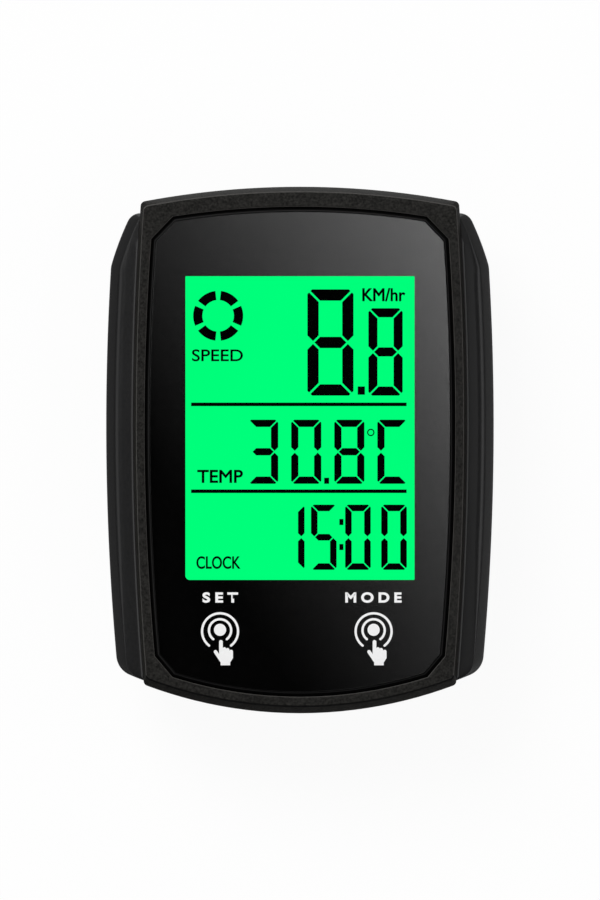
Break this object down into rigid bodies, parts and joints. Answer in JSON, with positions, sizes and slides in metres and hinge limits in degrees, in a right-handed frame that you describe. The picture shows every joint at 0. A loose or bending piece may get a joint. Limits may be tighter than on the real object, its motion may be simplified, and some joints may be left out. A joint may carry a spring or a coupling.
{
  "type": "cycling computer",
  "caption": "Handlebar cycling computer with a framed touch lens over a backlit display, soft side grips, a twist-lock foot and a coin-slot battery cover.",
  "frame": {"origin": "centre of the twist-lock foot's rear face, at the lowest point of the part lying on its back", "axes": "+X right and +Y up as the rider reads the display, +Z out of the display"},
  "size_m": [0.0442, 0.06, 0.017],
  "materials": {
    "shell_plastic": "fine spark-eroded texture",
    "cover_plastic": "fine spark-eroded texture",
    "grip_rubber": "smooth, soft sheen",
    "clear_lens": "polished, clear",
    "black_print": "printed behind the lens",
    "black_tape": "foam tape",
    "segment_ink": "dark liquid-crystal segments",
    "lit_display": "even green backlight",
    "display_glass": "clear",
    "polariser_film": "grey film",
    "light_guide_plastic": "clear acrylic",
    "white_film": "white reflector",
    "white_plastic": "moulded white",
    "led_resin": "moulded resin",
    "contact_rubber": "layered conductive rubber",
    "board_laminate": "solder mask",
    "spring_steel": "plated wire",
    "black_resin": "epoxy mound",
    "can_metal": "drawn can",
    "ferrite": "sintered",
    "copper_winding": "enamelled copper",
    "sensor_bead": "dipped bead",
    "chip_ceramic": "chip parts",
    "screw_steel": "dark zinc",
    "seal_rubber": "silicone",
    "contact_metal": "nickel plate",
    "cell_steel": "stainless can"
  },
  "bodies": {
    "body": {"front_frame": "shell_plastic", "rear_case": "shell_plastic", "left_grip": "grip_rubber", "right_grip": "grip_rubber", "lens": "clear_lens", "border_film": "black_print", "lens_tape": "black_tape", "lcd_segments": "segment_ink", "front_polariser": "lit_display", "front_glass": "display_glass", "rear_glass": "display_glass", "rear_polariser": "polariser_film", "light_guide": "light_guide_plastic", "reflector": "white_film", "backlight_tray": "white_plastic", "backlight_leds": "led_resin", "zebra_strip": "contact_rubber", "circuit_board": "board_laminate", "set_touch_spring": "spring_steel", "mode_touch_spring": "spring_steel", "controller": "black_resin", "clock_crystal": "can_metal", "receiver_core": "ferrite", "receiver_winding": "copper_winding", "temperature_sensor": "sensor_bead", "chip_parts": "chip_ceramic", "board_screws": "screw_steel", "case_screws": "screw_steel", "case_seal": "seal_rubber", "positive_contact": "contact_metal", "negative_contact": "contact_metal", "coin_cell": "cell_steel"},
    "cover": {"battery_cover": "cover_plastic", "cover_seal": "seal_rubber"}
  },
  "joints": [
    {"name": "cover_twist", "type": "hinge", "parent": "body", "child": "cover", "pos_m": [0, 0, 0.001], "axis": [0, 0, -1], "range_deg": [0, 60]}
  ]
}
